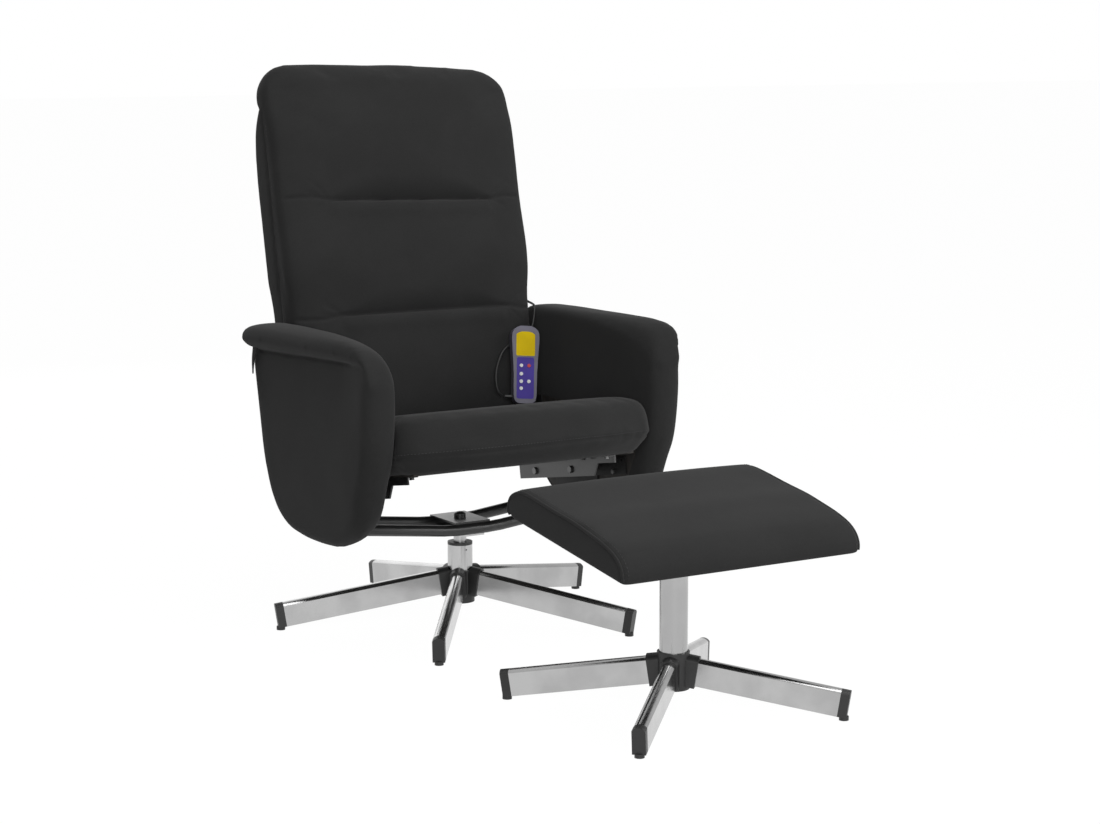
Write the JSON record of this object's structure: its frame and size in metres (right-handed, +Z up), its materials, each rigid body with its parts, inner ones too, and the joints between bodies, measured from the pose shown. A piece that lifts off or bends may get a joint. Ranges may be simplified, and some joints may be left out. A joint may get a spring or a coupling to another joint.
{
  "type": "massage recliner with footstool",
  "caption": "Upholstered swivel recliner with rolled arms, three-pad back, wired hand control and sloping footstool, both on polished star bases.",
  "frame": {"origin": "on the floor, at the centre of the box round the chair and its footstool", "axes": "+Z up, -Y the way that the sitter faces, +X to the sitter's left"},
  "size_m": [0.7, 1.2854, 1.0246],
  "materials": {
    "black_plastic": "fine grain",
    "satin_steel": "polished, faintly brushed",
    "bearing_steel": "turned",
    "black_steel": "satin black powder coat",
    "grey_steel": "satin dark grey",
    "zinc_screws": "zinc plated",
    "plywood": "raw plywood",
    "upholstery": "soft matt charcoal cover",
    "motor_case": "dull",
    "dark_plastic": "matt",
    "remote_grey": "fine grain",
    "panel_yellow": "clear over yellow",
    "panel_violet": "printed film, bare of lettering",
    "circuit_board": "solder mask",
    "key_white": "satin",
    "key_red": "satin"
  },
  "bodies": {
    "base": {"base_hub": "black_plastic", "base_arms": "satin_steel", "base_end_caps": "black_plastic", "column_tube": "satin_steel", "column_bush": "black_plastic", "spindle_cup": "bearing_steel"},
    "carriage": {"swivel_spindle": "bearing_steel", "clamp_plate": "black_steel", "dome_nut": "black_steel", "cross_tube_front": "black_steel", "cross_tube_rear": "black_steel", "frame_screws": "zinc_screws", "side_rail_left": "grey_steel", "side_rail_right": "grey_steel", "arm_board_left": "plywood", "arm_board_right": "plywood", "arm_pad_left": "upholstery", "arm_pad_right": "upholstery"},
    "seat": {"seat_cushion": "upholstery", "seat_board": "plywood", "seat_bracket_left": "black_steel", "seat_bracket_right": "black_steel", "seat_screws": "zinc_screws", "glide_bolts": "zinc_screws", "hinge_bolts": "zinc_screws", "remote_front": "remote_grey", "remote_rear": "remote_grey", "remote_window": "panel_yellow", "remote_label": "panel_violet", "remote_board": "circuit_board", "remote_relief": "dark_plastic", "remote_cord": "dark_plastic"},
    "back": {"back_board": "plywood", "back_bracket_left": "black_steel", "back_bracket_right": "black_steel", "back_screws": "zinc_screws", "back_shell": "upholstery", "lumbar_pad": "upholstery", "middle_pad": "upholstery", "head_pad": "upholstery", "massage_motors": "motor_case", "control_box": "dark_plastic", "power_inlet": "dark_plastic", "cord_gland": "dark_plastic"},
    "stool": {"stool_hub": "black_plastic", "stool_arms": "satin_steel", "stool_end_caps": "black_plastic", "stool_column": "satin_steel", "stool_top_plate": "black_steel", "stool_screws": "zinc_screws", "stool_board": "plywood", "stool_cushion": "upholstery"},
    "key_1": {"key_1": "key_white"},
    "key_2": {"key_2": "key_red"},
    "key_3": {"key_3": "key_white"},
    "key_4": {"key_4": "key_white"},
    "key_5": {"key_5": "key_white"},
    "key_6": {"key_6": "key_white"}
  },
  "joints": [
    {"name": "swivel", "type": "hinge", "parent": "base", "child": "carriage", "pos_m": [0, 0.29275, 0.15], "axis": [0, 0, 1], "continuous": true},
    {"name": "seat_glide", "type": "slide", "parent": "carriage", "child": "seat", "axis": [0, -0.9848, 0.1736], "range_m": [0, 0.02958]},
    {"name": "back_recline", "type": "hinge", "parent": "seat", "child": "back", "pos_m": [0, 0.42766, 0.29974], "axis": [-1, 0, 0], "range_deg": [0, 25]},
    {"name": "stool_slide", "type": "slide", "parent": "base", "child": "stool", "axis": [0, -1, 0], "range_m": [-0.15, 0.3]},
    {"name": "key_1_press", "type": "slide", "parent": "seat", "child": "key_1", "axis": [0.2998, 0.9228, -0.2419], "range_m": [0, 0.0006], "stiffness_N_per_m": 400},
    {"name": "key_2_press", "type": "slide", "parent": "seat", "child": "key_2", "axis": [0.2998, 0.9228, -0.2419], "range_m": [0, 0.0006], "stiffness_N_per_m": 400},
    {"name": "key_3_press", "type": "slide", "parent": "seat", "child": "key_3", "axis": [0.2998, 0.9228, -0.2419], "range_m": [0, 0.0006], "stiffness_N_per_m": 400},
    {"name": "key_4_press", "type": "slide", "parent": "seat", "child": "key_4", "axis": [0.2998, 0.9228, -0.2419], "range_m": [0, 0.0006], "stiffness_N_per_m": 400},
    {"name": "key_5_press", "type": "slide", "parent": "seat", "child": "key_5", "axis": [0.2998, 0.9228, -0.2419], "range_m": [0, 0.0006], "stiffness_N_per_m": 400},
    {"name": "key_6_press", "type": "slide", "parent": "seat", "child": "key_6", "axis": [0.2998, 0.9228, -0.2419], "range_m": [0, 0.0006], "stiffness_N_per_m": 400}
  ],
  "couplings": [
    {"joint": "seat_glide", "follows": "back_recline", "m_per_rad": 0.0678}
  ]
}
